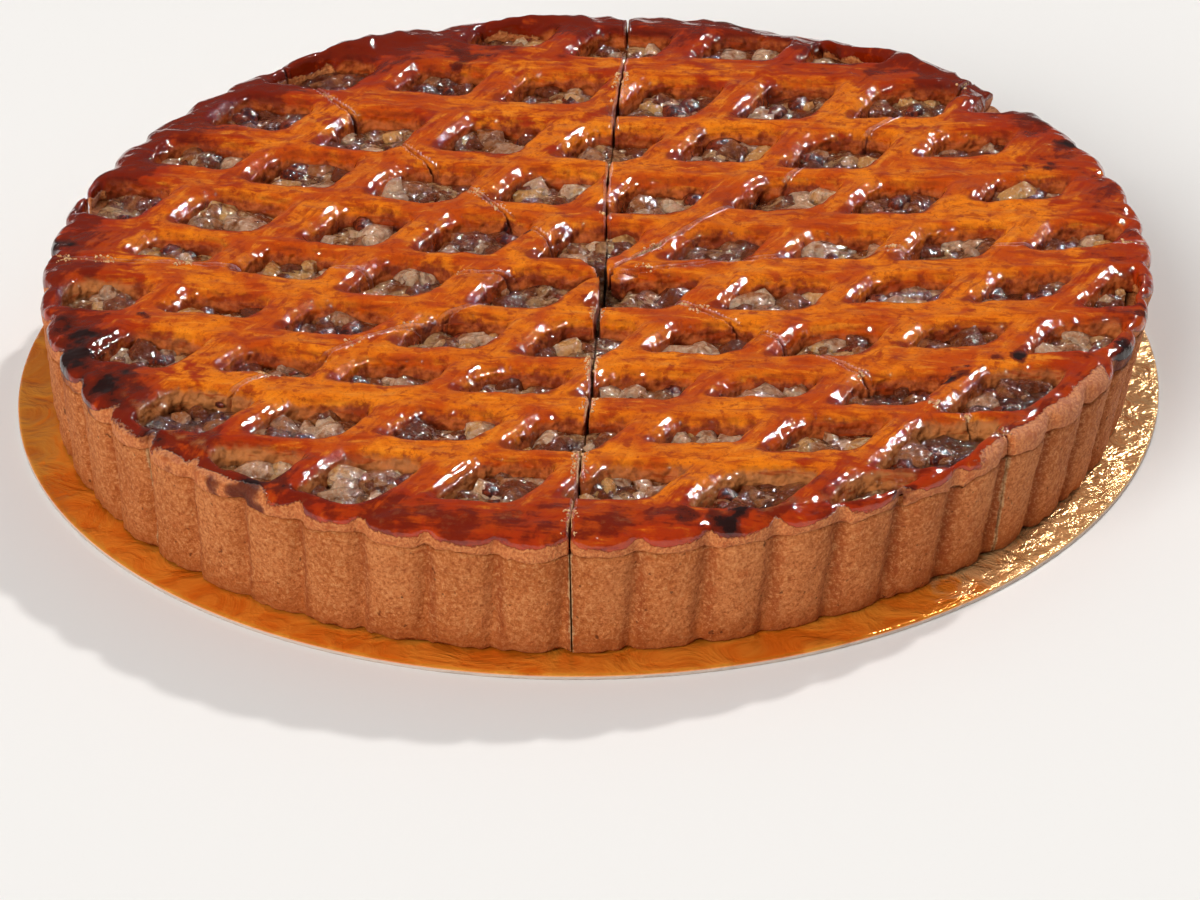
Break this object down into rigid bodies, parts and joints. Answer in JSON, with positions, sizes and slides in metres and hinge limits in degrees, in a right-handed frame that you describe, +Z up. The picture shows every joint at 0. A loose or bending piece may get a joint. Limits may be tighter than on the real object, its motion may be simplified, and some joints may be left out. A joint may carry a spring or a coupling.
{
  "type": "apple tart",
  "caption": "Glazed lattice-topped apple tart in a fluted shortcrust case, cut into slices, on a round gold cake card.",
  "frame": {"origin": "on the ground under the centre of the gold card", "axes": "+Z up; the front of the tart, as pictured, faces -Y; +X to its right"},
  "size_m": [0.28, 0.28, 0.0386],
  "materials": {
    "card": "gold foil, creased",
    "case": "baked shortcrust, sandy and matte",
    "filling": "apple pieces and raisins in clear jelly",
    "lattice": "browned pastry under a thin clear glaze"
  },
  "bodies": {
    "root": {"gold_card": "card", "slice_1_case": "case", "slice_1_filling": "filling", "slice_1_lattice": "lattice", "slice_2_case": "case", "slice_2_filling": "filling", "slice_2_lattice": "lattice", "slice_3_case": "case", "slice_3_filling": "filling", "slice_3_lattice": "lattice", "slice_4_case": "case", "slice_4_filling": "filling", "slice_4_lattice": "lattice", "slice_5_case": "case", "slice_5_filling": "filling", "slice_5_lattice": "lattice", "slice_6_case": "case", "slice_6_filling": "filling", "slice_6_lattice": "lattice", "slice_7_case": "case", "slice_7_filling": "filling", "slice_7_lattice": "lattice", "slice_8_case": "case", "slice_8_filling": "filling", "slice_8_lattice": "lattice"}
  },
  "joints": []
}
